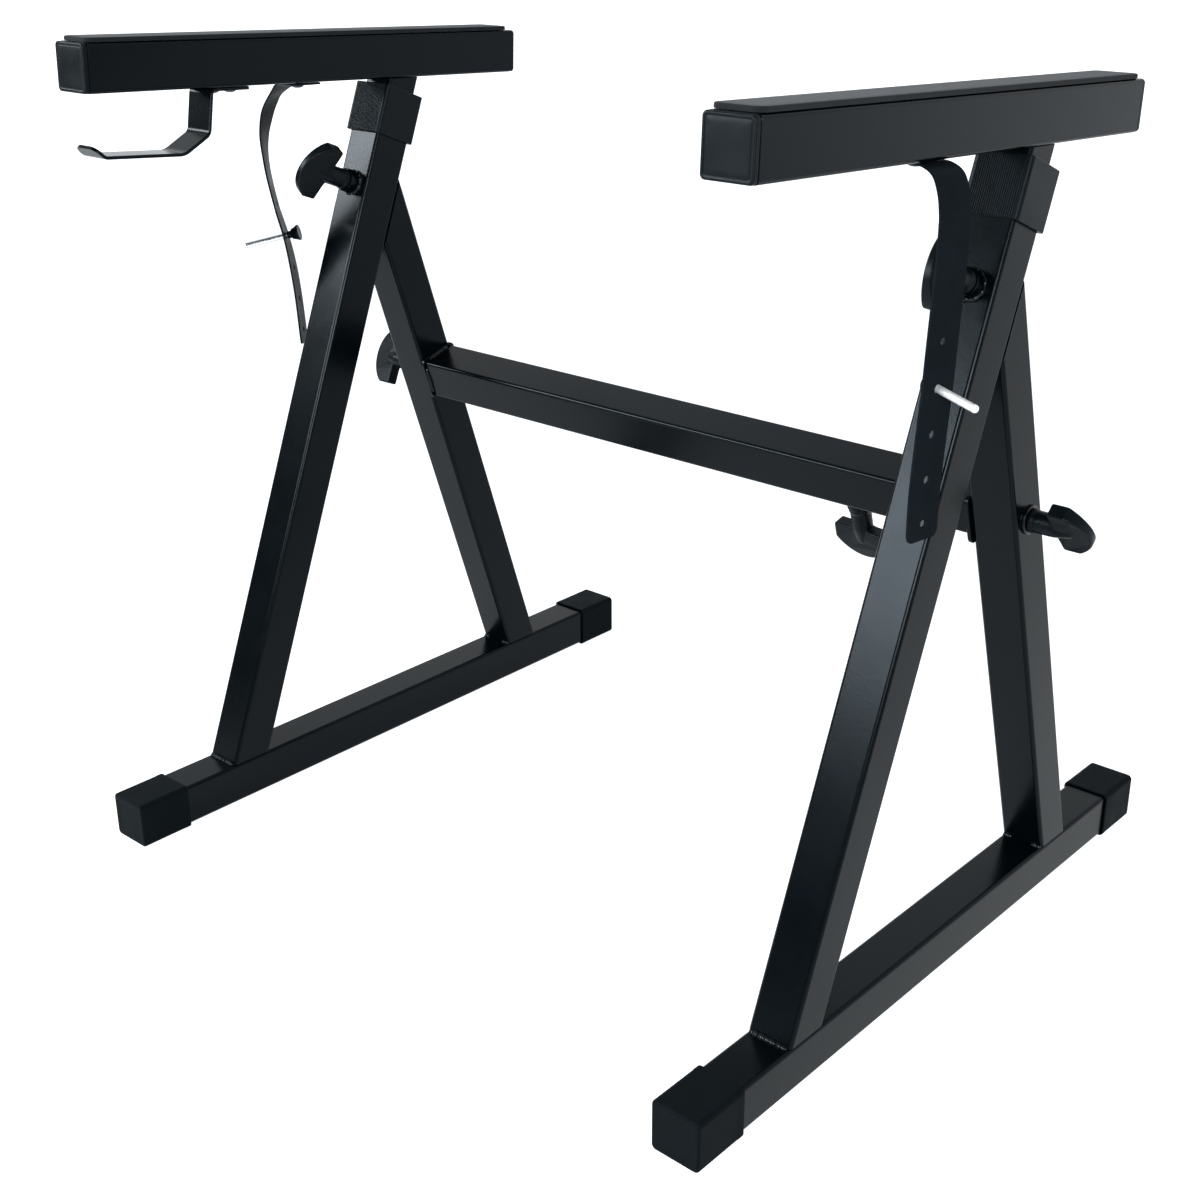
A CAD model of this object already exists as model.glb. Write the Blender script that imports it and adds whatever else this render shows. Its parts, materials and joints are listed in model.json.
import json
import random
from math import acos, asin, cos, hypot, pi, radians, sin, sqrt, tan

import bmesh
import bpy
import numpy as np
from mathutils import Matrix, Vector

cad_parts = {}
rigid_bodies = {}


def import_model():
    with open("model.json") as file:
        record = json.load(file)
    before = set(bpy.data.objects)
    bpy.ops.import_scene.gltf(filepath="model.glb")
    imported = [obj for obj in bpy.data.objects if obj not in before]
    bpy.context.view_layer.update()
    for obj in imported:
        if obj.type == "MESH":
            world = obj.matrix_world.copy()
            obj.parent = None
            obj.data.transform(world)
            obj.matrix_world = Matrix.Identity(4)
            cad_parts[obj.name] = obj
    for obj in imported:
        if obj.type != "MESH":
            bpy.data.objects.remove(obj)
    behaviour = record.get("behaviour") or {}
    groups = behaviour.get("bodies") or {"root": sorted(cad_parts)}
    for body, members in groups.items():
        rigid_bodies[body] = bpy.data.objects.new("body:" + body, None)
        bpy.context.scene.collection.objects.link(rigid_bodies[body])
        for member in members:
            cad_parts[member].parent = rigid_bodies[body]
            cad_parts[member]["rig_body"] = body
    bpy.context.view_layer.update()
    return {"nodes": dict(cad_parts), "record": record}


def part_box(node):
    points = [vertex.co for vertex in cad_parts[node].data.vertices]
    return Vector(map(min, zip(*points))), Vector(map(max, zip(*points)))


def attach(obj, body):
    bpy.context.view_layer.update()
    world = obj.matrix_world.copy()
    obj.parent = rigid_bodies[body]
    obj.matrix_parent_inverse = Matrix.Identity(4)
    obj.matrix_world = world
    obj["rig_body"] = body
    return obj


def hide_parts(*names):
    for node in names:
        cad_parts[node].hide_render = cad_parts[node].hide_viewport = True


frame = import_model()
NODES = frame["nodes"]
SLOTS = {entry["node"]: entry["material_slot"] for entry in frame["record"]["subparts"]}
SIDES = {"left": -1, "right": 1}

# Sizes in metres, most of them shared with the part's source
GAP = 0.0003
FRAME_X = 0.294
TUBE = 0.035
HALF = TUBE / 2
WALL = 0.0015
TUBE_CORNER = 0.003
TUBE_EDGE = 0.0003
SLIDE_TUBE = 0.03
FOOT_SPAN = 0.5896
UPRIGHT_LEAN = radians(21.4)
BRACE_LEAN = radians(17.899)
ARM_RISE = radians(2.5)
FOOT_TOP = 0.03705
UPRIGHT_FACE_Y = -0.1973
BRACE_FACE_Y = 0.1408
UPRIGHT_TOP = 0.5775
ARM_SEAT = 0.594
POST_LENGTH = 0.455
CROSSBAR_AT = 0.3134
BOOT_LENGTH = 0.0468
BOOT_OUTSIDE = 0.0391
BOOT_INSIDE = 0.0354
COLLAR_SIDE = 0.041
COLLAR_START = 0.543
COLLAR_LENGTH = 0.04
ARM_FRONT = -0.3054
ARM_REAR = 0.1274
PLUG_FLANGE = 0.004
PAD_WIDTH = 0.0335
PAD_HEIGHT = 0.0034
PAD_FRONT_INSET = 0.0048
PAD_REAR_INSET = 0.0075
STUD = 0.004
BOSS_RADIUS = 0.0095
BOSS_LENGTH = 0.01
WASHER_LENGTH = 0.0017
WASHER_RADIUS = 0.0105
HEIGHT_CLAMP_AT = 0.5
WIDTH_CLAMP_X = 0.1685
BAR_MOUTH_X = 0.216
INNER_BAR = 0.488
PLATE = 0.04
PLATE_THICK = 0.003
HOOK_AT = -0.194
HOOK_WIDTH = 0.028
HOOK_THICK = 0.0026
HOOK_TAB = 0.034
# The drawn strip from its first bend on, along the arm's Y and Z, and the radii of its bends
HOOK_DROP = [(0.0, 0.0), (-0.0042, -0.0325), (-0.0277, -0.0458), (-0.0965, -0.0434), (-0.1045, -0.0362)]
HOOK_BENDS = [0.004, 0.007, 0.016, 0.007]
HOOK_TIP = 0.0072
HOOK_EDGE = 0.0008
HOOK_SCREWS = {"a": 0.01, "b": 0.026}
SCREW_SHANK = 0.008
# The strap's thickness in the solid, which places the screw and the pin, and the drawn band's sizes
STRAP_THICK = 0.0022
BAND_WIDTH = {"left": 0.026, "right": 0.027}
BAND_THICK = 0.0015
BAND_EDGE = 0.00035
STRAP_SEAT = {"left": -0.102, "right": -0.1265}
STRAP_HOLES = [0.0992, 0.1265, 0.1538, 0.1811, 0.2084]
PINNED_HOLE = 1
# Straps: outward, rearward and downward from the screw in millimetres, and the turn in degrees
STRAP_LINES = {
    "right": [(-13, 0, 0, 9), (-6, 0, 0, 9), (6, -0.8, 0, 9), (16, -2.2, 0.8, 9), (24.5, -3.8, 5, 9),
              (29.3, -4.8, 14, 9), (31.5, -5.5, 23, 9), (32.6, -6.2, 34, 9), (32.9, -7.5, 60, 9),
              (33.3, -10.2, 84, 9.5), (34.1, -13, 105, 10), (35.06, -16.13, 126.5, 10),
              (35.5, -19.2, 148, 10), (36.3, -24, 187, 10), (36.9, -25, 219, 9)],
    "left": [(-13, 1.8, 0, 8), (-6, 0.8, 0, 8), (2, -0.3, 0, 8), (8, -1, 0.4, 8), (14, -1.5, 2.4, 14),
             (20.4, -1.7, 6.4, 23), (27.6, -1.9, 11.9, 29), (32.8, -2.5, 18.7, 28), (36, -3.5, 25.5, 29),
             (37.7, -5, 34, 32), (38.4, -6.8, 44, 37), (37.7, -7.8, 58, 43), (37.0, -6.4, 76, 45.5),
             (37.2, -0.3, 103, 46.5), (37.2, 6.65, 126.5, 45), (37.6, 12.2, 152, 42), (38, 16, 180, 41),
             (37.6, 18.4, 219, 40)]}
# Where the pin crosses the strap, in metres from the screw
PIN_PLACE = {"left": (-0.0372, 0.012173, -0.1265), "right": (0.035059, -0.010611, -0.1265)}
PIN_RADIUS = 0.0025
PIN_REACH = 0.036
PIN_NECK = {"left": 0.0036, "right": 0.0}
PIN_YAW = {"left": 40.0, "right": 21.0}
PIN_DROOP = {"left": 15.5, "right": 6.0}
# How far each knob is turned, in degrees
HEIGHT_TURN = {"left": 59, "right": 89}
SIDE_TURN = {"left": 41, "right": 26}
WIDTH_TURN = 4

# The photograph's own viewpoint, solved from its straight edges: the axes are right, up and back
CAMERA_SENSOR = 36.0
CAMERA_LENS = 51.451
CAMERA_PLACE = (0.828955, -0.962593, 0.749161)
CAMERA_AXES = ((0.747272, 0.66451, -0.003406),
               (-0.258241, 0.295119, 0.9199),
               (0.612288, -0.686536, 0.392137))

# Light a little cooler than white, bright enough that the background still shows pure white
COOL_WHITE = (0.93, 0.97, 1.0)
# The cool cast of the black surfaces' reflections
COOL_SHINE = (0.79, 0.91, 1.0, 1.0)


def shift(x, y, z):
    return Matrix.Translation((x, y, z))


def spin(degrees, axis):
    return Matrix.Rotation(radians(degrees), 4, axis)


def aim(direction, axis="Z"):
    """The turn that lays a local axis along a direction."""
    return Vector(direction).to_track_quat(axis, "Y").to_matrix().to_4x4()


def leaning(side, face_y, back):
    """A leaning tube's frame: from the foot tube's top, up along the tube."""
    middle = shift(SIDES[side] * FRAME_X, face_y + HALF / cos(back), FOOT_TOP)
    return middle @ Matrix.Rotation(-back, 4, "X")


# The frames that the parts are built in
UPRIGHT = {s: leaning(s, UPRIGHT_FACE_Y, UPRIGHT_LEAN) for s in SIDES}
BRACE = {s: leaning(s, BRACE_FACE_Y, -BRACE_LEAN) for s in SIDES}
ARM = {s: UPRIGHT[s] @ shift(0, 0, ARM_SEAT) @ Matrix.Rotation(UPRIGHT_LEAN - ARM_RISE, 4, "X")
       for s in SIDES}


def link_object(name, data):
    made = bpy.data.objects.new(name, data)
    bpy.context.scene.collection.objects.link(made)
    return made


def add_camera():
    data = bpy.data.cameras.new("camera")
    data.sensor_width = CAMERA_SENSOR
    data.lens = CAMERA_LENS
    camera = link_object("camera", data)
    camera.matrix_world = shift(*CAMERA_PLACE) @ Matrix(CAMERA_AXES).transposed().to_4x4()
    bpy.context.scene.camera = camera


# Materials

# The radians that a wave texture runs through in one unit, at a scale of one
WAVE_RADIANS = 20


def new_material(name):
    material = bpy.data.materials.new(name)
    material.use_nodes = True
    tree = material.node_tree
    return material, tree, tree.nodes["Principled BSDF"]


def fill(made, values):
    for name, value in values.items():
        made.inputs[name].default_value = value


def node(tree, kind, values=None, **settings):
    made = tree.nodes.new(kind)
    for key, value in settings.items():
        setattr(made, key, value)
    fill(made, values or {})
    return made


def object_place(tree, scale=(1.0, 1.0, 1.0)):
    """Object coordinates, so that a texture's size is in metres."""
    place = node(tree, "ShaderNodeTexCoord")
    mapping = node(tree, "ShaderNodeMapping", {"Scale": scale})
    tree.links.new(place.outputs["Object"], mapping.inputs["Vector"])
    return mapping.outputs["Vector"]


def ramp(tree, source, low=0.0, high=1.0, start=0.0, end=1.0):
    values = {"From Min": start, "From Max": end, "To Min": low, "To Max": high}
    made = node(tree, "ShaderNodeMapRange", values)
    tree.links.new(source, made.inputs["Value"])
    return made.outputs["Result"]


def colour_mix(tree, factor, first, second):
    made = node(tree, "ShaderNodeMix", data_type="RGBA")
    tree.links.new(factor, made.inputs[0])
    for place, value in ((6, first), (7, second)):
        if isinstance(value, tuple):
            made.inputs[place].default_value = (*value, 1.0)
        else:
            tree.links.new(value, made.inputs[place])
    return made.outputs[2]


def combine(tree, operation, first, second):
    made = node(tree, "ShaderNodeMath", operation=operation)
    tree.links.new(first, made.inputs[0])
    tree.links.new(second, made.inputs[1])
    return made.outputs[0]


def scaled(colour, factor):
    return tuple(c * factor for c in colour)


def bumps(tree, shader, *layers):
    """Fine relief in layers, each over the one before: height, strength and distance."""
    normal = None
    for height, strength, distance in layers:
        made = node(tree, "ShaderNodeBump", {"Strength": strength, "Distance": distance})
        tree.links.new(height, made.inputs["Height"])
        if normal is not None:
            tree.links.new(normal, made.inputs["Normal"])
        normal = made.outputs["Normal"]
    tree.links.new(normal, shader.inputs["Normal"])


def noise(tree, vector, scale, detail, roughness=0.55):
    made = node(tree, "ShaderNodeTexNoise", {"Scale": scale, "Detail": detail, "Roughness": roughness})
    tree.links.new(vector, made.inputs["Vector"])
    return made.outputs["Fac"]


def lines(tree, vector, pitch):
    """Even fine lines across the object's X."""
    made = node(tree, "ShaderNodeTexWave", {"Scale": 2 * pi / WAVE_RADIANS / pitch},
                wave_type="BANDS", bands_direction="X", wave_profile="SIN")
    tree.links.new(vector, made.inputs["Vector"])
    return made.outputs["Fac"]


def finish_look(tree, shader, colour, gloss, specular):
    """The sockets that all the black surfaces share."""
    tree.links.new(colour, shader.inputs["Base Color"])
    tree.links.new(gloss, shader.inputs["Roughness"])
    fill(shader, {"Specular IOR Level": specular, "Specular Tint": COOL_SHINE})


def powder_coat(name, base, rough, specular):
    """Satin black powder coat: a fine orange peel over slow changes of gloss and shade."""
    material, tree, shader = new_material(name)
    place = object_place(tree)
    peel = noise(tree, place, scale=1100.0, detail=2.0, roughness=0.5)
    grain = noise(tree, place, scale=4200.0, detail=1.0, roughness=0.5)
    cloud = noise(tree, place, scale=18.0, detail=4.0, roughness=0.6)
    body = colour_mix(tree, ramp(tree, cloud, start=0.35, end=0.65), base, scaled(base, 1.18))
    speck = ramp(tree, grain, start=0.62, end=0.72)
    gloss = ramp(tree, cloud, *rough, start=0.3, end=0.7)
    finish_look(tree, shader, colour_mix(tree, speck, body, scaled(base, 1.5)), gloss, specular)
    orange = noise(tree, place, scale=420.0, detail=2.0, roughness=0.6)
    bumps(tree, shader, (orange, 0.1, 0.0003), (peel, 0.1, 0.0002), (grain, 0.06, 0.0001))
    return material


def moulded(name, base, rough, specular, grain_scale, grain_strength,
            line_pitch=None, line_strength=0.0):
    """Moulded plastic or rubber with a fine spark-eroded grain, and ribs where the mould has them."""
    material, tree, shader = new_material(name)
    place = object_place(tree)
    grain = noise(tree, place, grain_scale, detail=3.0, roughness=0.6)
    cloud = noise(tree, place, scale=60.0, detail=3.0, roughness=0.5)
    pale = colour_mix(tree, ramp(tree, cloud, start=0.3, end=0.7), base, scaled(base, 1.3))
    pore = ramp(tree, grain, start=0.3, end=0.45)
    gloss = ramp(tree, cloud, rough - 0.05, rough + 0.06, start=0.3, end=0.7)
    finish_look(tree, shader, colour_mix(tree, pore, scaled(base, 0.75), pale), gloss, specular)
    layers = [(grain, grain_strength, 0.0002)]
    if line_pitch:
        layers.append((lines(tree, place, line_pitch), line_strength, 0.0003))
    bumps(tree, shader, *layers)
    return material


def foam(name, base):
    """Closed-cell foam: round pores, a dusty sheen and a softly mottled face."""
    material, tree, shader = new_material(name)
    place = object_place(tree)
    cells = node(tree, "ShaderNodeTexVoronoi", {"Scale": 1400.0}, feature="F1")
    tree.links.new(place, cells.inputs["Vector"])
    cloud = noise(tree, place, scale=90.0, detail=4.0, roughness=0.6)
    pale = colour_mix(tree, ramp(tree, cloud, start=0.3, end=0.7), base, scaled(base, 1.5))
    pore = ramp(tree, cells.outputs["Distance"], start=0.1, end=0.5)
    tree.links.new(colour_mix(tree, pore, scaled(base, 0.6), pale), shader.inputs["Base Color"])
    fill(shader, {"Roughness": 0.88, "Specular IOR Level": 0.18, "Sheen Weight": 0.05})
    lumps = noise(tree, place, scale=260.0, detail=3.0)
    bumps(tree, shader, (cells.outputs["Distance"], 0.35, 0.0002), (lumps, 0.25, 0.0003))
    return material


def zinc_plate(name, base, rough, metal=1.0):
    """Zinc plate: fine turned lines and a faint mottle."""
    material, tree, shader = new_material(name)
    place = object_place(tree)
    mottle = noise(tree, place, scale=320.0, detail=4.0, roughness=0.6)
    paler = tuple(min(c, 1.0) for c in scaled(base, 1.12))
    tree.links.new(colour_mix(tree, mottle, base, paler), shader.inputs["Base Color"])
    gloss = ramp(tree, mottle, rough - 0.05, rough + 0.08, start=0.3, end=0.7)
    tree.links.new(gloss, shader.inputs["Roughness"])
    shader.inputs["Metallic"].default_value = metal
    turning = noise(tree, object_place(tree, (1.0, 1.0, 60.0)), scale=160.0, detail=2.0)
    specks = noise(tree, place, scale=2400.0, detail=2.0)
    bumps(tree, shader, (turning, 0.06, 0.0001), (specks, 0.05, 0.0001))
    return material


# Mesh helpers

def smoothed(mesh, sharp):
    mesh.shade_smooth()
    mesh.set_sharp_from_angle(angle=radians(sharp))
    return mesh


def finish_mesh(bm, name, sharp):
    bmesh.ops.recalc_face_normals(bm, faces=bm.faces)
    mesh = bpy.data.meshes.new(name)
    bm.to_mesh(mesh)
    bm.free()
    return smoothed(mesh, sharp)


def even_normals(piece, keep_sharp):
    weights = piece.modifiers.new("even_normals", "WEIGHTED_NORMAL")
    weights.keep_sharp = keep_sharp


def add_piece(name, mesh, matrix, replaces=None, body=None, slot=None, even=True):
    """A visible piece that stands for a node, or rides with a body as an extra."""
    piece = link_object(name, mesh)
    slot = slot or SLOTS[replaces]
    if not mesh.materials:
        mesh.materials.append(LOOKS[slot])
    piece.matrix_world = matrix
    if even:
        even_normals(piece, True)
    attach(piece, body or NODES[replaces]["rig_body"])
    if replaces:
        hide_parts(replaces)
    return piece


def outline(half_x, half_y, corner, steps=8):
    """A rounded rectangle, anticlockwise."""
    points = []
    for k in range(4):
        centre_x = (half_x - corner) * (1 if k in (0, 3) else -1)
        centre_y = (half_y - corner) * (1 if k in (0, 1) else -1)
        for step in range(steps + 1):
            turn = radians(90 * k + 90 * step / steps)
            points.append((centre_x + corner * cos(turn), centre_y + corner * sin(turn)))
    return points


def level(points, z):
    return [Vector((x, y, z)) for x, y in points]


def square(half, corner, z):
    return level(outline(half, half, corner), z)


def quarter_round(size, step=15):
    """How far a rounded edge steps in and up, from its side to its top."""
    turns = [radians(t) for t in range(0, 91, step)]
    return [(size * (1 - cos(t)), size * sin(t)) for t in turns]


def loft(name, rings, wrap=False, sharp=32.0):
    """A skin over rings that all have the same number of points."""
    bm = bmesh.new()
    loops = [[bm.verts.new(p) for p in ring] for ring in rings]
    pairs = list(zip(loops, loops[1:]))
    if wrap:
        pairs.append((loops[-1], loops[0]))
    for a, b in pairs:
        for k in range(len(a)):
            after = (k + 1) % len(a)
            bm.faces.new((a[k], a[after], b[after], b[k]))
    if not wrap:
        bm.faces.new(list(reversed(loops[0])))
        bm.faces.new(loops[-1])
    return finish_mesh(bm, name, sharp)


def turned(name, profile, steps=64, sharp=32.0):
    """A solid of revolution about local Z from (radius, height) pairs."""
    bm = bmesh.new()
    loops = []
    for radius, height in profile:
        if radius < 1e-7:
            loops.append([bm.verts.new((0, 0, height))])
            continue
        ring = [2 * pi * k / steps for k in range(steps)]
        loops.append([bm.verts.new((radius * cos(t), radius * sin(t), height)) for t in ring])
    for a, b in zip(loops, loops[1:]):
        for k in range(steps):
            after = (k + 1) % steps
            corners = [a[k % len(a)], a[after % len(a)], b[after % len(b)], b[k % len(b)]]
            bm.faces.new(list(dict.fromkeys(corners)))
    return finish_mesh(bm, name, sharp)


def onto_plane(matrix, points, point, normal):
    """An outline carried along local Z onto a plane given in the frame."""
    inverse = matrix.inverted()
    p = inverse @ Vector(point)
    n = inverse.to_3x3() @ Vector(normal)
    return [Vector((x, y, p.z - (n.x * (x - p.x) + n.y * (y - p.y)) / n.z)) for x, y in points]


def square_cut(matrix, z):
    """The plane across a tube at a height along it."""
    return matrix @ Vector((0, 0, z)), matrix.to_3x3() @ Vector((0, 0, 1))


def add_tube(name, matrix, side, start, end):
    """A square steel tube between two cuts, with its wall showing at the ends."""
    half = side / 2
    outer = outline(half, half, TUBE_CORNER)
    eased = outline(half - TUBE_EDGE, half - TUBE_EDGE, TUBE_CORNER - TUBE_EDGE)
    inner = outline(half - WALL, half - WALL, TUBE_CORNER - WALL)
    up = Vector((0, 0, TUBE_EDGE))
    rings = [[p + up for p in onto_plane(matrix, outer, *start)],
             [p - up for p in onto_plane(matrix, outer, *end)],
             onto_plane(matrix, eased, *end),
             onto_plane(matrix, inner, *end),
             onto_plane(matrix, inner, *start),
             onto_plane(matrix, eased, *start)]
    add_piece(name + "_steel", loft(name, rings, wrap=True), matrix, name)


# Side frames

def boot_mesh():
    """A rubber boot, from its mouth at zero to its closed end."""
    half, inside = BOOT_OUTSIDE / 2, BOOT_INSIDE / 2
    corner, bore_corner, flare_corner = 0.004, 0.0032, 0.0036
    bore_end, flare_end, flare = 0.0438, 0.0013, 0.0008
    lip, round_end, mould_step = 0.0007, 0.0019, 0.00012
    rings = [square(inside, bore_corner, bore_end), square(inside, bore_corner, flare_end),
             square(inside + flare, flare_corner, 0.0)]
    for turn in (0, 30, 60, 90):
        a = radians(turn)
        ease = lip * (1 - sin(a))
        rings.append(square(half - ease, corner - ease, lip * (1 - cos(a))))
    # a shallow step where the mould parts
    rings += [square(half, corner, 0.0052), square(half - mould_step, corner, 0.0056)]
    for ease, rise in quarter_round(round_end):
        ease += mould_step
        rings.append(square(half - ease, max(corner - ease * 0.8, 0.0008), BOOT_LENGTH - round_end + rise))
    # a shallow dish in the closed end
    for ease, sink in ((0.0052, 0.00005), (0.0058, 0.0002)):
        rings.append(square(half - ease, 0.002, BOOT_LENGTH - sink))
    return loft("boot", rings, sharp=40)


def add_foot(side):
    x = SIDES[side] * FRAME_X
    name = side + "_foot_tube"
    low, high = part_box(name)
    matrix = shift(x, low[1], (low[2] + high[2]) / 2) @ spin(-90, "X")
    add_tube(name, matrix, TUBE, square_cut(matrix, 0), square_cut(matrix, high[1] - low[1]))
    for end, way in (("front", -1), ("rear", 1)):
        boot = shift(x, way * (FOOT_SPAN / 2 - BOOT_LENGTH), BOOT_OUTSIDE / 2) @ spin(-90 * way, "X")
        name = side + "_" + end + "_boot"
        add_piece(name + "_rubber", BOOT_MESH.copy(), boot, name)


COLLAR_CORNER = 0.0032
COLLAR_RIBS = 23
RIB_HEIGHT = 0.00055
# One rib across its pitch: place and height, each as a share
RIB = ((0.22, 0), (0.28, 0.38), (0.36, 0.75), (0.44, 0.96), (0.5, 1),
       (0.56, 0.96), (0.64, 0.75), (0.72, 0.38), (0.78, 0))


def ribbed_outline():
    """The collar's outline: a rounded square whose front edge carries fine upright ribs."""
    half, steps, margin = COLLAR_SIDE / 2, 6, 0.0006
    corners = outline(half, half, COLLAR_CORNER, steps)
    pitch = (COLLAR_SIDE - 2 * COLLAR_CORNER - margin) / COLLAR_RIBS
    start = -COLLAR_RIBS * pitch / 2
    ribs = [(start + (k + place) * pitch, -half - RIB_HEIGHT * height)
            for k in range(COLLAR_RIBS) for place, height in RIB]
    # the ribs belong between the third and fourth corners, along the front
    third = 3 * (steps + 1)
    return corners[:third] + ribs + corners[third:]


def nearest_on_square(points, half, corner):
    """Each point's nearest place on a rounded square."""
    core = half - corner
    found = []
    for x, y in points:
        cx, cy = min(max(x, -core), core), min(max(y, -core), core)
        away = hypot(x - cx, y - cy)
        found.append((cx + (x - cx) / away * corner, cy + (y - cy) / away * corner))
    return found


def collar_mesh():
    edge, ease, plain_corner, bore_corner = 0.0006, 0.0004, 0.0028, 0.0033
    points = ribbed_outline()
    plain = nearest_on_square(points, COLLAR_SIDE / 2 - ease, plain_corner)
    sleeve = nearest_on_square(points, HALF + GAP, bore_corner)
    guide = nearest_on_square(points, SLIDE_TUBE / 2 + GAP, bore_corner)
    depth = UPRIGHT_TOP + GAP - COLLAR_START
    rings = ((points, edge), (points, COLLAR_LENGTH - edge), (plain, COLLAR_LENGTH), (guide, COLLAR_LENGTH),
             (guide, depth), (sleeve, depth), (sleeve, 0.0003), (plain, 0.0))
    return loft("collar", [level(*ring) for ring in rings], wrap=True, sharp=30)


def boss_profile():
    """A bored boss with chamfered ends, as (radius, height) pairs that come back to the start."""
    bore, rim = STUD + GAP, BOSS_RADIUS
    top, ease = BOSS_LENGTH - GAP, 0.0006
    return [(bore, top - ease), (bore + ease, top), (rim - ease, top), (rim - 0.0002, top - 0.0002),
            (rim, top - 0.0007), (rim, 0.0), (bore, 0.0), (bore, top - ease)]


WELD_LOBES = 9
WELD_RIPPLE = 0.0021
HEIGHT_BOSS_WELD = 0.0021
WIDTH_BOSS_WELD = 0.0017


def between(values, place):
    """The value at a place along a list that closes on itself."""
    first, part = int(place), place % 1
    return values[first % len(values)] * (1 - part) + values[(first + 1) % len(values)] * part


def ring_weld(thick, seed):
    """A lumpy bead of weld laid round a boss."""
    rng = random.Random(seed)
    swell = [rng.uniform(0.5, 1.4) for _ in range(WELD_LOBES)]
    around, across = 120, 12
    loops = []
    for k in range(around):
        place = k / around * WELD_LOBES
        size = thick * (between(swell, place) * (0.55 + 0.45 * abs(sin(pi * place))))
        turn = 2 * pi * k / around
        loops.append([])
        for j in range(across):
            a = 2 * pi * j / across
            r = BOSS_RADIUS + size * cos(a)
            loops[-1].append((r * cos(turn), r * sin(turn), max(size * 1.1 * sin(a), -0.0001)))
    return loft("ring_weld", loops, wrap=True, sharp=60)


def line_weld(length, reach, seed):
    """A fillet weld along X: overlapping scallops between the plane below and the plane behind."""
    rng = random.Random(seed)
    count = max(int(round(length / WELD_RIPPLE)), 1)
    wobble = [rng.uniform(0.82, 1.15) for _ in range(count + 2)]
    along, across = count * 8, 10
    loops = []
    for k in range(along + 1):
        t = k / along
        part = t * count % 1
        scallop = 0.84 + 0.16 * sin(pi * part) ** 0.6
        taper = sqrt(max(1 - (2 * t - 1) ** 8, 0.0))
        r = reach * between(wobble, t * count) * scallop * taper + 0.00005
        loops.append([])
        for j in range(across + 1):
            a = radians(-6 + 102 * j / across)
            lean = 0.0007 * sin(a * 2) * sin(pi * part)
            loops[-1].append(((t - 0.5) * length + lean, -r * cos(a), r * 0.92 * sin(a)))
    return loft("bead", loops, sharp=60)


def add_weld(name, mesh, matrix, body):
    add_piece(name, mesh, matrix, body=body, slot="black_powder_coat")
    mesh.materials[0] = WELD


def add_boss(name, place, weld_thick, seed, body):
    add_piece(name + "_turned", turned("boss", boss_profile()), place, name)
    add_weld(name + "_weld", ring_weld(weld_thick, seed), place @ shift(0, 0, -GAP), body)


FLOOR_CUT = (Vector((0, 0, FOOT_TOP + GAP)), Vector((0, 0, 1)))


def add_upright(side):
    matrix = UPRIGHT[side]
    add_tube(side + "_upright", matrix, TUBE, FLOOR_CUT, square_cut(matrix, UPRIGHT_TOP))
    collar = matrix @ shift(0, 0, COLLAR_START)
    add_piece(side + "_collar_moulding", COLLAR_MESH.copy(), collar, side + "_collar")
    boss = matrix @ shift(0, -HALF - GAP, HEIGHT_CLAMP_AT) @ spin(90, "X")
    add_boss(side + "_height_boss", boss, HEIGHT_BOSS_WELD, 3 + SIDES[side], side + "_frame")


# Beads before each tube's foot: sideways place, length and reach
UPRIGHT_BEADS = ((0.0045, 0.021, 0.003), (-0.007, 0.018, 0.0034))
BRACE_BEADS = ((-0.0125, 0.0085, 0.0029), (0.012, 0.0085, 0.0029))
# The bead behind it, and each of those round the crossbar's end: length and reach
REAR_BEAD = (0.026, 0.0026)
PLATE_BEAD = (0.024, 0.0022)


def add_base_welds(side):
    """Beads round the feet of the upright and the brace."""
    x = SIDES[side] * FRAME_X
    seeds = iter(range(20 + SIDES[side] * 5, 60))
    for tube, beads, face, front, lean in (
            ("_upright", UPRIGHT_BEADS, UPRIGHT_FACE_Y, UPRIGHT_FACE_Y + 0.0003, UPRIGHT_LEAN),
            ("_brace", BRACE_BEADS, BRACE_FACE_Y, BRACE_FACE_Y, BRACE_LEAN)):
        for letter, (aside, length, reach) in zip("ab", beads):
            bead = line_weld(length, reach, next(seeds))
            place = shift(x + aside, front, FOOT_TOP)
            add_weld(side + tube + "_weld_" + letter, bead, place, side + "_frame")
        bead = line_weld(*REAR_BEAD, next(seeds))
        rear = shift(x, face + TUBE / cos(lean), FOOT_TOP) @ spin(180, "Z")
        add_weld(side + tube + "_weld_c", bead, rear, side + "_frame")


def add_brace(side):
    matrix, back = BRACE[side], UPRIGHT[side]
    out = SIDES[side]
    upright_back = (back @ Vector((0, HALF + GAP, 0)), back.to_3x3() @ Vector((0, 1, 0)))
    add_tube(side + "_brace", matrix, TUBE, FLOOR_CUT, upright_back)
    place = matrix @ shift(out * (HALF + GAP), 0, CROSSBAR_AT) @ spin(90 * out, "Y")
    bore, rim, top = STUD + GAP, WASHER_RADIUS, WASHER_LENGTH
    profile = [(bore, top), (rim - 0.0006, top), (rim - 0.0001, top - 0.0003), (rim, top - 0.0007),
               (rim, 0.0002), (rim - 0.0002, 0), (bore, 0), (bore, top)]
    add_piece(side + "_side_washer_pressed", turned("washer", profile), place, side + "_side_washer")


# Crossbar

def plate_mesh():
    """An end plate with eased edges and the screw's hole."""
    half, corner, ease, steps = PLATE / 2, 0.006, 0.0004, 10
    points = outline(half, half, corner, steps)
    eased = outline(half - ease, half - ease, corner - ease, steps)
    hole = nearest_on_square(points, STUD + GAP, STUD + GAP)
    rings = ((points, ease), (points, PLATE_THICK - ease), (eased, PLATE_THICK), (hole, PLATE_THICK),
             (hole, 0), (eased, 0))
    return loft("plate", [level(*ring) for ring in rings], wrap=True)


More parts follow.
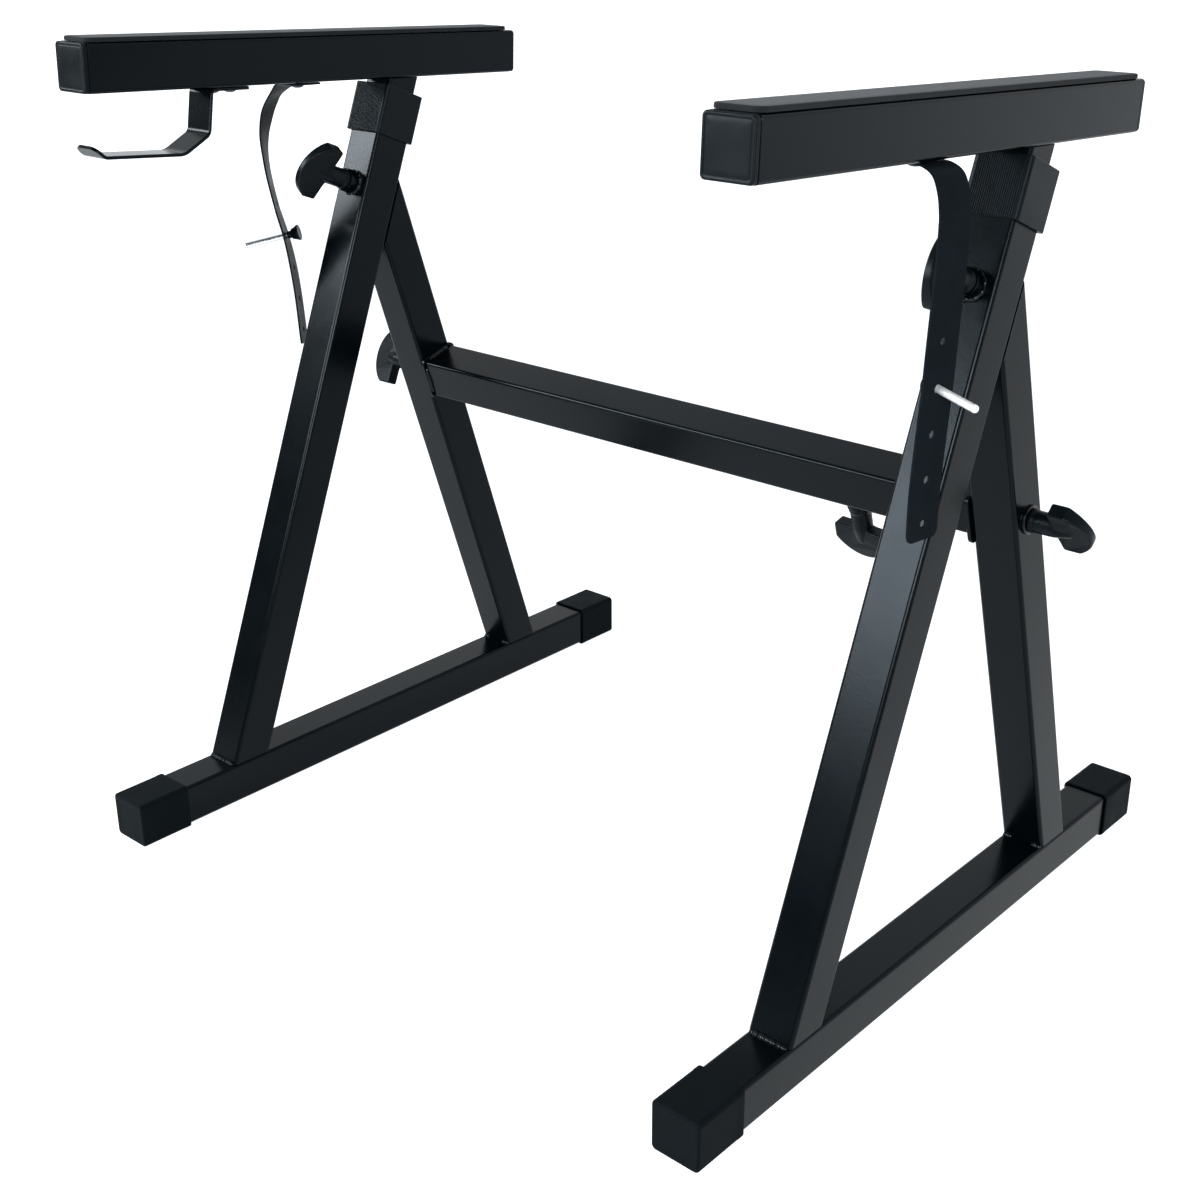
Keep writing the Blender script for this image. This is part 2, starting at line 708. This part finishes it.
def add_crossbar():
    left_end = -(FRAME_X - HALF - GAP) + PLATE_THICK + GAP
    outer = BRACE["left"] @ shift(left_end + FRAME_X, 0, CROSSBAR_AT) @ spin(90, "Y")
    add_tube("crossbar_outer", outer, TUBE, square_cut(outer, 0), square_cut(outer, BAR_MOUTH_X - left_end))
    inner = BRACE["right"] @ shift(-(HALF + 2 * GAP + PLATE_THICK), 0, CROSSBAR_AT) @ spin(-90, "Y")
    add_tube("crossbar_inner", inner, SLIDE_TUBE, square_cut(inner, 0), square_cut(inner, INNER_BAR))
    for side, out in SIDES.items():
        place = BRACE[side] @ shift(-out * (HALF + GAP), 0, CROSSBAR_AT) @ spin(-90 * out, "Y")
        add_piece(side + "_bar_plate_steel", plate_mesh(), place, side + "_bar_plate")
        edge = HALF if side == "left" else SLIDE_TUBE / 2
        for k, letter in enumerate("abcd"):
            bead = line_weld(*PLATE_BEAD, 70 + k + out)
            turn = place @ shift(0, 0, PLATE_THICK) @ spin(90 * k, "Z") @ shift(0, -edge, 0)
            add_weld(side + "_bar_plate_weld_" + letter, bead, turn, side + "_frame")
    place = BRACE["left"] @ shift(WIDTH_CLAMP_X + FRAME_X, 0, CROSSBAR_AT - HALF - GAP) @ spin(180, "X")
    add_boss("width_boss", place, WIDTH_BOSS_WELD, 9, "left_frame")


# Arms

def plug_mesh():
    """A moulded plug: a block inside the tube and a cushioned face outside it, along local Z."""
    half, corner = (TUBE - 0.0004) / 2, 0.003
    inside, inside_corner = HALF - WALL - GAP, 0.0012
    back, soft = 0.0004, 0.0011
    rings = [square(inside - 0.001, inside_corner, -0.015), square(inside, inside_corner, -0.012),
             square(inside, inside_corner, 0.0), square(half - back, 0.0028, 0.0), square(half, corner, back)]
    for ease, rise in quarter_round(soft):
        rings.append(square(half - ease, corner - ease * 0.5, PLUG_FLANGE - soft + rise))
    # a fine groove round the cushion
    for ease, sink in ((0.0021, 0.00002), (0.0024, 0.0003), (0.0027, 0.0003),
                       (0.0031, 0.00004), (0.006, 0.0)):
        rings.append(square(half - ease, max(0.0026 - ease * 0.4, 0.001), PLUG_FLANGE - sink))
    return loft("plug", rings, sharp=45)


def pad_mesh(length):
    """A foam strip, crowned a little and eased all round its top edge."""
    corner, foot, soft, crown = 0.006, 0.0003, 0.0012, 0.0003
    shoulder = PAD_HEIGHT - crown

    def ring(ease, z):
        return level(outline(PAD_WIDTH / 2 - ease, length / 2 - ease, max(corner - ease, 0.0012)), z)

    rings = [ring(foot, 0.0), ring(0.0, foot)]
    rings += [ring(ease, shoulder - soft + rise) for ease, rise in quarter_round(soft)]
    for ease, part in ((0.0026, 0.45), (0.0045, 0.75), (0.008, 0.95), (0.012, 1.0)):
        rings.append(ring(ease, PAD_HEIGHT - crown * (1 - part)))
    return loft("pad", rings, sharp=60)


def add_arm(side):
    lift = UPRIGHT[side] @ shift(0, 0, ARM_SEAT)
    arm = ARM[side]
    seat = (arm @ Vector((0, 0, -GAP)), arm.to_3x3() @ Vector((0, 0, 1)))
    add_tube(side + "_post", lift, SLIDE_TUBE, square_cut(lift, -POST_LENGTH), seat)
    start, end = ARM_FRONT + PLUG_FLANGE + GAP, ARM_REAR - PLUG_FLANGE - GAP
    along = arm @ shift(0, start, HALF) @ spin(-90, "X")
    add_tube(side + "_arm", along, TUBE, square_cut(along, 0), square_cut(along, end - start))
    for place, y, turn in (("front", ARM_FRONT + PLUG_FLANGE, 90), ("rear", ARM_REAR - PLUG_FLANGE, -90)):
        plug = arm @ shift(0, y, HALF) @ spin(turn, "X")
        moulding = side + "_" + place + "_plug_moulding"
        add_piece(moulding, PLUG_MESH.copy(), plug, side + "_arm_" + place + "_plug")
    front, rear = ARM_FRONT + PAD_FRONT_INSET, ARM_REAR - PAD_REAR_INSET
    place = arm @ shift(0, (front + rear) / 2, TUBE + GAP)
    pad = add_piece(side + "_pad_foam", pad_mesh(rear - front), place, side + "_pad")


# Straps

HOLE_RADIUS = {"screw": 0.0026, "pinned": 0.0029, "free": 0.0024}
# Half the side of the finer patch round each hole, and the step in it
HOLE_PATCH = 0.0052
FINE_STEP = 0.0013
# The sheet's wider steps: across it, along it between the holes, and along its tail
ACROSS_STEP = 0.0021
ALONG_STEP = 0.0026
TAIL_STEP = 0.0022
STRAP_END_CORNER = 0.005


def smooth_path(points, per_gap):
    """A curve through the points, with the same number of steps between each two."""
    pts = [np.array(p, float) for p in points]
    pts = [2 * pts[0] - pts[1]] + pts + [2 * pts[-1] - pts[-2]]
    out = []
    for a, b, c, d in zip(pts, pts[1:], pts[2:], pts[3:]):
        for k in range(per_gap):
            t = k / per_gap
            out.append(0.5 * (2 * b + (c - a) * t + (2 * a - 5 * b + 4 * c - d) * t ** 2
                              + (3 * b - a - 3 * c + d) * t ** 3))
    out.append(pts[-2])
    return np.array(out)


def strap_course(side):
    """Along the strap: run, centre and the direction across it, in the swivel's frame."""
    out = SIDES[side]
    path = smooth_path(STRAP_LINES[side], 24)
    yaw = np.radians(path[:, 3])
    centre = np.stack([out * path[:, 0], path[:, 1] + path[:, 2] * tan(ARM_RISE), -path[:, 2]], 1) / 1000
    hanging = np.clip((path[:, 2] - 1) / 20, 0, 1) * ARM_RISE
    across = np.stack([out * np.sin(yaw), np.cos(yaw) * np.cos(hanging), np.cos(yaw) * np.sin(hanging)], 1)
    run = np.concatenate([[0], np.cumsum(np.linalg.norm(np.diff(centre, axis=0), axis=1))])
    return path, run, centre, across


def even_steps(start, end, step):
    count = max(int(round((end - start) / step)), 1)
    return [start + (end - start) * k / count for k in range(count + 1)]


def strap_mesh(side):
    """One dense sheet with round holes, bent along the strap's course; thickness comes from modifiers."""
    path, run, centre, across = strap_course(side)
    total = run[-1]
    half = BAND_WIDTH[side] / 2
    patch = HOLE_PATCH
    holes = [(float(np.interp(0.0, path[:, 0], run)), HOLE_RADIUS["screw"])]
    for k, depth in enumerate(STRAP_HOLES):
        place = float(np.interp(depth * 1000, path[:, 2], run))
        holes.append((place, HOLE_RADIUS["pinned" if k == PINNED_HOLE else "free"]))
    columns = (even_steps(-half, -patch, ACROSS_STEP)[:-1] + even_steps(-patch, patch, FINE_STEP)
               + even_steps(patch, half, ACROSS_STEP)[1:])
    left = columns.index(-patch)
    rows, blocks = [0.0], []
    for place, radius in holes:
        rows += even_steps(rows[-1], place - patch, ALONG_STEP)[1:]
        blocks.append((len(rows) - 1, place, radius))
        rows += even_steps(place - patch, place + patch, FINE_STEP)[1:]
    rows += even_steps(rows[-1], total, TAIL_STEP)[1:-1]
    rows += [total - 0.0012, total - 0.0005, total - 0.0001, total]

    def bent(s, v):
        end, corner = total - s, STRAP_END_CORNER
        if end < corner:
            gone = corner - end
            v *= (half - corner + sqrt(max(corner ** 2 - gone ** 2, 0.0))) / half
        point, way = (Vector([np.interp(s, run, c[:, k]) for k in range(3)]) for c in (centre, across))
        return point + way * v

    bm = bmesh.new()
    made = {}

    def vert(i, j):
        if (i, j) not in made:
            made[i, j] = bm.verts.new(bent(rows[i], columns[j]))
        return made[i, j]

    count = round(2 * patch / FINE_STEP)
    inside = {(i + a, left + b) for i, _, _ in blocks for a in range(count) for b in range(count)}
    for i in range(len(rows) - 1):
        for j in range(len(columns) - 1):
            if (i, j) not in inside:
                bm.faces.new((vert(i, j), vert(i, j + 1), vert(i + 1, j + 1), vert(i + 1, j)))
    for i, place, radius in blocks:
        rim = [(i, left + k) for k in range(count)]
        rim += [(i + k, left + count) for k in range(count)]
        rim += [(i + count, left + count - k) for k in range(count)]
        rim += [(i + count - k, left) for k in range(count)]
        previous = [vert(*key) for key in rim]
        flat = [(rows[key[0]] - place, columns[key[1]]) for key in rim]
        for part in (0.66, 0.33, 0.0):
            loop = []
            for s, v in flat:
                away = hypot(s, v)
                reach = radius + (away - radius) * part
                loop.append(bm.verts.new(bent(place + s / away * reach, v / away * reach)))
            for k in range(len(loop)):
                after = (k + 1) % len(loop)
                bm.faces.new((previous[k], previous[after], loop[after], loop[k]))
            previous = loop
    return finish_mesh(bm, side + "_strap", 180)


def add_strap(side):
    swivel = ARM[side] @ shift(0, STRAP_SEAT[side], -STRAP_THICK / 2 - GAP)
    strap = add_piece(side + "_strap_band", strap_mesh(side), swivel, side + "_strap", even=False)
    thick = strap.modifiers.new("thickness", "SOLIDIFY")
    thick.thickness = BAND_THICK
    thick.offset = 0
    edge = strap.modifiers.new("edges", "BEVEL")
    edge.width = BAND_EDGE
    edge.segments = 3
    edge.limit_method = "ANGLE"
    edge.angle_limit = radians(55)
    even_normals(strap, False)
    add_screw(side + "_strap_screw", ARM[side] @ shift(0, STRAP_SEAT[side], -STRAP_THICK - 2 * GAP))
    add_pin(side, swivel)


PIN_BACK = 0.0008
# The pin's rounded tip: share of its radius, and depth below the tip
PIN_TIP = ((0, 0), (0.3, 0.00006), (0.55, 0.0002), (0.75, 0.0005), (0.9, 0.001), (0.98, 0.0016),
           (1, 0.0022))
# The grip beyond its neck: its socket's depth, its length, and the radii and depths of its two ends
GRIP_SOCKET = 0.0042
GRIP_LENGTH = 0.0066
GRIP_NEAR = ((0.0046, 0.001), (0.0052, 0.0028), (0.0059, 0.0044), (0.0064, 0.005), (0.0065, 0.0055))
GRIP_FAR = ((0.0065, 0.0005), (0.0063, 0.0001), (0.0058, 0.0), (0.0046, 0.00015), (0.0, 0.0003))


def add_pin(side, swivel):
    out = SIDES[side]
    yaw, droop = radians(PIN_YAW[side]), radians(PIN_DROOP[side])
    way = (out * cos(yaw) * cos(droop), -sin(yaw) * cos(droop), -sin(droop))
    place = swivel @ shift(*PIN_PLACE[side]) @ aim(way)
    tip = STRAP_THICK / 2 + PIN_REACH
    back = -STRAP_THICK / 2 - PIN_BACK
    neck = PIN_NECK[side]
    start = back - neck - GRIP_SOCKET
    profile = [(PIN_RADIUS * share, tip - depth) for share, depth in PIN_TIP]
    rod = turned("pin", profile + [(PIN_RADIUS, start), (0, start)], 40)
    rod.materials.append(PIN_LOOKS[side])
    add_piece(side + "_pin_steel", rod, place, side + "_pin")
    bore, end = PIN_RADIUS + GAP, -neck - GRIP_LENGTH
    profile = [(0.0, -neck - GRIP_SOCKET), (bore, -neck - GRIP_SOCKET), (bore, 0.0), (0.003, 0.0)]
    if neck:
        profile += [(0.0031, -neck + 0.0004), (0.004, -neck)]
    profile += [(radius, -neck - depth) for radius, depth in GRIP_NEAR]
    profile += [(radius, end + depth) for radius, depth in GRIP_FAR]
    grip = turned("grip", profile, 40, sharp=25)
    add_piece(side + "_pin_grip_moulding", grip, place @ shift(0, 0, back), side + "_pin_grip")


# Screws, studs and knobs

def worked_out(body, *others):
    """The mesh that an object's modifiers make; the object and its cutters are removed."""
    bpy.context.view_layer.update()
    mesh = bpy.data.meshes.new_from_object(body.evaluated_get(bpy.context.evaluated_depsgraph_get()))
    for temp in (body, *others):
        bpy.data.objects.remove(temp, do_unlink=True)
    return mesh


def cut_with(mesh, cutters, operation="DIFFERENCE"):
    """A mesh after an exact cut or join with others."""
    body = link_object("cut_body", mesh)
    others = [link_object("cut_tool", cutter) for cutter in cutters]
    for other in others:
        step = body.modifiers.new("cut", "BOOLEAN")
        step.object = other
        step.operation = operation
        step.solver = "EXACT"
    return worked_out(body, *others)


def screw_mesh():
    """A domed screw with a cross recess, its head's seat at zero."""
    head, rise, rim, shank_radius = 0.005, 0.0024, 0.0003, 0.0022
    profile = [(0, rise)]
    for turn in range(8, 89, 8):
        a = radians(turn)
        profile.append((head * sin(a), rim + (rise - rim) * cos(a)))
    profile += [(head, rim), (head - 0.0002, 0.0), (shank_radius, 0.0), (shank_radius, -SCREW_SHANK),
                (0, -SCREW_SHANK)]
    body = turned("screw", profile, 48)
    arms = []
    for turn in (0, 90):
        arm = loft("recess", [level(outline(0.0006, 0.00035, 0.0001, 2), 0.0006),
                              level(outline(0.0026, 0.00055, 0.0001, 2), 0.004)])
        arm.transform(spin(turn, "Z"))
        arms.append(arm)
    return smoothed(cut_with(body, arms), 35)


def add_screw(name, seat):
    add_piece(name + "_steel", SCREW_MESH.copy(), seat @ spin(180, "X"), name)


THREAD_PITCH = 0.00125


def stud_mesh(start, end):
    """A threaded stud: close rings of thread with eased crests."""
    root, crest, ease = STUD - 0.00055, STUD - 0.00008, 0.0006
    profile = [(0, end), (root - ease, end)]
    z = end - ease
    while z - THREAD_PITCH > start + ease:
        profile += [(root, z), (crest, z - THREAD_PITCH * 0.4), (crest, z - THREAD_PITCH * 0.58),
                    (root, z - THREAD_PITCH * 0.96)]
        z -= THREAD_PITCH
    profile += [(root - 0.0004, start), (0, start)]
    return turned("stud", profile, 32, sharp=20)


# The wing: its start along the knob, its straight side, its arc's top and span, and how it thins
WING_START = 0.019
WING_SIDE = 0.0125
WING_RISE = 0.0455
WING_SPAN = 0.048
WING_RIDGE = 0.033
WING_THICK = 0.0105
WING_THIN = 0.0055
WING_THIN_AT = 0.0465
WING_SOFT = 0.0011
# The bell-shaped hub, from its top to its seat, as (radius, height) pairs
HUB = ((0, 0.0335), (0.003, 0.0334), (0.0046, 0.0322), (0.0056, 0.03), (0.0066, 0.0255), (0.0074, 0.0215),
       (0.0079, 0.0185), (0.008, 0.015), (0.008, 0.0045), (0.0084, 0.003), (0.0088, 0.002),
       (0.0088, 0.0006), (0.0083, 0.0001), (0.0, 0.0001))
KNOB_VOXEL = 0.00042
STUD_IN_KNOB = 0.012
# How far a side knob's screw goes on beyond the end plate
SIDE_SCREW_PAST = 0.006


def wing_outline():
    """Half-moon outline in X and Z, anticlockwise from the lower right, with points on the ridge."""
    start, half = WING_START, WING_SPAN / 2
    bulge = WING_RISE - (start + WING_SIDE)
    radius = (half * half + bulge * bulge) / (2 * bulge)
    middle = WING_RISE - radius
    reach = asin(half / radius)
    lower = [(half - 0.0014, start + 0.0003), (half - 0.0006, start + 0.0008),
             (half - 0.0001, start + 0.0018)]
    steps = 40
    crossing = acos((WING_RIDGE - middle) / radius)
    turns = {reach - 2 * reach * k / steps for k in range(steps + 1)} | {crossing, -crossing}
    arc = [(radius * sin(a), middle + radius * cos(a)) for a in sorted(turns, reverse=True)]
    base = [(-0.01, start + 0.0002), (-0.006, start - 0.0003)]
    return (lower + arc + [(-x, z) for x, z in reversed(lower)] + base
            + [(-x, z) for x, z in reversed(base)])


def inset(points, depth):
    """An outline moved inwards, for a shape without tight hollows."""
    pts = [Vector(p) for p in points]
    moved = []
    for a, b, c in zip(pts[-1:] + pts[:-1], pts, pts[1:] + pts[:1]):
        first, second = (b - a).normalized(), (c - b).normalized()
        way = Vector((-(first + second).y, (first + second).x)).normalized()
        moved.append(b + way * depth)
    return moved


def blade_mesh():
    """The knob's wing: flat below its ridge, thinning towards its arc, with soft edges."""
    points = wing_outline()

    def half_thick(z):
        part = min(max((z - WING_RIDGE) / (WING_THIN_AT - WING_RIDGE), 0.0), 1.0)
        return (WING_THICK + (WING_THIN - WING_THICK) * part) / 2

    front, rear = [], []
    for ease, rise in quarter_round(WING_SOFT, 18):
        ring = [(p.x, half_thick(p.y) - WING_SOFT + rise, p.y) for p in inset(points, ease)]
        front.append([Vector(p) for p in ring])
        rear.append([Vector((x, -y, z)) for x, y, z in ring])
    return loft("blade", list(reversed(rear)) + front, sharp=30)


def knob_mesh():
    """The moulded wing knob: blade and bell-shaped hub run together by a fine remesh."""
    joined = cut_with(blade_mesh(), [turned("hub", HUB, 64)], "UNION")
    body = link_object("knob_body", joined)
    remesh = body.modifiers.new("remesh", "REMESH")
    remesh.mode = "VOXEL"
    remesh.voxel_size = KNOB_VOXEL
    smooth = body.modifiers.new("smooth", "SMOOTH")
    smooth.factor = 0.5
    smooth.iterations = 3
    mesh = worked_out(body)
    mesh.materials.clear()
    mesh.shade_smooth()
    return mesh


def add_knob(name, matrix, turn, reach):
    add_piece(name + "_moulding", KNOB_MESH, matrix @ spin(turn, "Z"), name, even=False)
    screw = name.replace("knob", "screw")
    add_piece(screw + "_thread", stud_mesh(-reach, STUD_IN_KNOB), matrix, screw)


def add_knobs():
    foot = HALF + BOSS_LENGTH + GAP
    reach = foot - SLIDE_TUBE / 2 - GAP
    side_foot = HALF + GAP + WASHER_LENGTH + GAP
    side_reach = side_foot + HALF + PLATE_THICK + SIDE_SCREW_PAST
    for side, out in SIDES.items():
        place = UPRIGHT[side] @ shift(0, -foot, HEIGHT_CLAMP_AT) @ spin(90, "X")
        add_knob(side + "_height_knob", place, HEIGHT_TURN[side], reach)
        place = BRACE[side] @ shift(out * side_foot, 0, CROSSBAR_AT) @ spin(90 * out, "Y")
        add_knob(side + "_side_knob", place, SIDE_TURN[side], side_reach)
    place = BRACE["left"] @ shift(WIDTH_CLAMP_X + FRAME_X, 0, CROSSBAR_AT - foot) @ spin(180, "X")
    add_knob("width_knob", place, WIDTH_TURN, reach)


# Headphone hook

def rounded_path(points, radii):
    """A path in a plane whose corners are arcs, each of its own radius."""
    pts = [Vector(p) for p in points]
    steps = 10
    out = [pts[0]]
    for a, b, c, radius in zip(pts, pts[1:], pts[2:], radii):
        before, after = (a - b).normalized(), (c - b).normalized()
        half = before.angle(after) / 2
        cut = min(radius / tan(half), (a - b).length * 0.45, (c - b).length * 0.45)
        bend = cut * tan(half)
        middle = b + (before + after).normalized() * (bend / sin(half))
        start, end = b + before * cut - middle, b + after * cut - middle
        for k in range(steps + 1):
            blend = start.lerp(end, k / steps).normalized()
            out.append(middle + blend * bend)
    out.append(pts[-1])
    return out


def hook_mesh():
    """The bent strip as one solid: rounded edges, rolled bends and a round tip."""
    middle = -HOOK_THICK / 2 - GAP
    path = [(HOOK_TAB, middle)] + [(y, z + middle) for y, z in HOOK_DROP]
    bends = rounded_path(path, HOOK_BENDS)
    last, before = bends[-1], bends[-2]
    way = (last - before).normalized()
    turns = (0, 12, 24, 36, 48, 58, 68, 76, 83, 88)
    stations = bends[:-1] + [last - way * HOOK_TIP * (1 - sin(radians(t))) for t in turns]
    rings = []
    for k, p in enumerate(stations):
        ahead = stations[min(k + 1, len(stations) - 1)]
        behind = stations[max(k - 1, 0)]
        run = (ahead - behind).normalized()
        outward = Vector((-run.y, run.x))
        reach = HOOK_WIDTH / 2
        left = (last - p).length
        if k >= len(bends) - 1 and left < HOOK_TIP:
            reach = reach - HOOK_TIP + sqrt(max(HOOK_TIP ** 2 - (HOOK_TIP - left) ** 2, 0.0)) + 0.0001
        section = outline(max(reach, HOOK_EDGE * 1.2), HOOK_THICK / 2, HOOK_EDGE, 4)
        rings.append([Vector((x, p.x + outward.x * t, p.y + outward.y * t)) for x, t in section])
    return loft("hook", rings, sharp=50)


def add_hook():
    arm = ARM["left"]
    add_piece("headphone_hook_strip", hook_mesh(), arm @ shift(0, HOOK_AT, 0), "headphone_hook")
    for letter, along in HOOK_SCREWS.items():
        add_screw("hook_screw_" + letter, arm @ shift(0, HOOK_AT + along, -HOOK_THICK - 2 * GAP))


# Floor and light

# A little below the feet, so that no faces share a plane
FLOOR_Z = -0.0006
# How bright the floor and the background look to the camera
FLOOR_GLOW = 0.95
WORLD_GLOW = 1.12


def add_floor():
    bpy.ops.mesh.primitive_plane_add(size=5, location=(0, 0, FLOOR_Z))
    floor = bpy.context.object
    floor.name = "floor"
    material, tree, shader = new_material("floor_white")
    fill(shader, {"Base Color": (0.45, 0.45, 0.45, 1), "Roughness": 0.9, "Specular IOR Level": 0.1})
    glow = node(tree, "ShaderNodeEmission", {"Color": (*COOL_WHITE, 1)})
    tree.links.new(ramp(tree, seen_directly(tree), 0.0, FLOOR_GLOW), glow.inputs["Strength"])
    both = node(tree, "ShaderNodeAddShader")
    tree.links.new(shader.outputs["BSDF"], both.inputs[0])
    tree.links.new(glow.outputs["Emission"], both.inputs[1])
    tree.links.new(both.outputs["Shader"], tree.nodes["Material Output"].inputs["Surface"])
    floor.data.materials.append(material)


def seen_directly(tree):
    """One where a camera, glossy or transmission ray looks, for a background that shows white."""
    ray = node(tree, "ShaderNodeLightPath")
    seen = combine(tree, "MAXIMUM", ray.outputs["Is Camera Ray"], ray.outputs["Is Glossy Ray"])
    return combine(tree, "MAXIMUM", seen, ray.outputs["Is Transmission Ray"])


def add_light(name, size, energy, location, target, roll=0.0):
    data = bpy.data.lights.new(name, "AREA")
    data.shape = "RECTANGLE"
    data.size, data.size_y = size
    data.energy = energy
    data.color = COOL_WHITE
    lamp = link_object(name, data)
    lamp.matrix_world = shift(*location) @ aim(Vector(target) - Vector(location), "-Z") @ spin(roll, "Z")


def add_world():
    """White behind the object for the camera, and a dim room in front of it for reflections."""
    world = bpy.data.worlds.new("studio")
    bpy.context.scene.world = world
    world.use_nodes = True
    tree = world.node_tree
    background = tree.nodes["Background"]
    background.inputs["Color"].default_value = (*COOL_WHITE, 1)
    way = node(tree, "ShaderNodeSeparateXYZ")
    tree.links.new(node(tree, "ShaderNodeTexCoord").outputs["Generated"], way.inputs[0])
    behind = ramp(tree, way.outputs["Y"], 0.05, 1.0, start=-0.35, end=0.05)
    keep = combine(tree, "MAXIMUM", behind, node(tree, "ShaderNodeLightPath").outputs["Is Camera Ray"])
    strength = ramp(tree, seen_directly(tree), 0.5, WORLD_GLOW)
    low_glow = ramp(tree, way.outputs["Z"], 1.4, 1.0, start=0.0, end=0.35)
    for part in (keep, low_glow):
        strength = combine(tree, "MULTIPLY", strength, part)
    tree.links.new(strength, background.inputs["Strength"])


add_camera()
add_world()
add_floor()
add_light("left_softbox", size=(1.93, 0.48), energy=85, location=(-1.304, -1.627, 1.153),
          target=(0.0, 0.0, 0.35), roll=-13.7)
add_light("right_fill", size=(1.3, 0.5), energy=58, location=(1.4, -1.57, 1.0), target=(0.2, 0.0, 0.4))

WELD = powder_coat("black_weld", (0.001, 0.0014, 0.0017), rough=(0.2, 0.28), specular=0.2)
LOOKS = {
    "black_powder_coat": powder_coat(
        "black_powder_coat", (0.0005, 0.0012, 0.0017), rough=(0.2, 0.25), specular=0.09),
    "black_plastic": moulded(
        "black_plastic", (0.0014, 0.0024, 0.003), rough=0.36, specular=0.09,
        grain_scale=1500.0, grain_strength=0.25),
    "boot_rubber": moulded(
        "boot_rubber", (0.0028, 0.0042, 0.005), rough=0.5, specular=0.02,
        grain_scale=2200.0, grain_strength=0.22, line_pitch=0.001, line_strength=0.25),
    "pad_foam": foam("pad_foam", (0.0036, 0.005, 0.0064)),
    "strap_rubber": moulded(
        "strap_rubber", (0.0042, 0.0062, 0.0078), rough=0.36, specular=0.012,
        grain_scale=1800.0, grain_strength=0.12),
    "bright_zinc": zinc_plate("bright_zinc", (0.86, 0.87, 0.88), rough=0.3, metal=0.6),
    "black_zinc": zinc_plate("black_zinc", (0.045, 0.047, 0.05), rough=0.34)}
# The left pin is seen against white, where a darker plate keeps it visible
PIN_LOOKS = {"left": zinc_plate("bright_zinc_worn", (0.66, 0.67, 0.68), rough=0.2),
             "right": LOOKS["bright_zinc"]}

BOOT_MESH = boot_mesh()
COLLAR_MESH = collar_mesh()
PLUG_MESH = plug_mesh()
SCREW_MESH = screw_mesh()
KNOB_MESH = knob_mesh()
for side_name in SIDES:
    add_foot(side_name)
    add_upright(side_name)
    add_brace(side_name)
    add_base_welds(side_name)
    add_arm(side_name)
    add_strap(side_name)
add_crossbar()
add_knobs()
add_hook()

bpy.context.scene.view_settings.view_transform = "Standard"
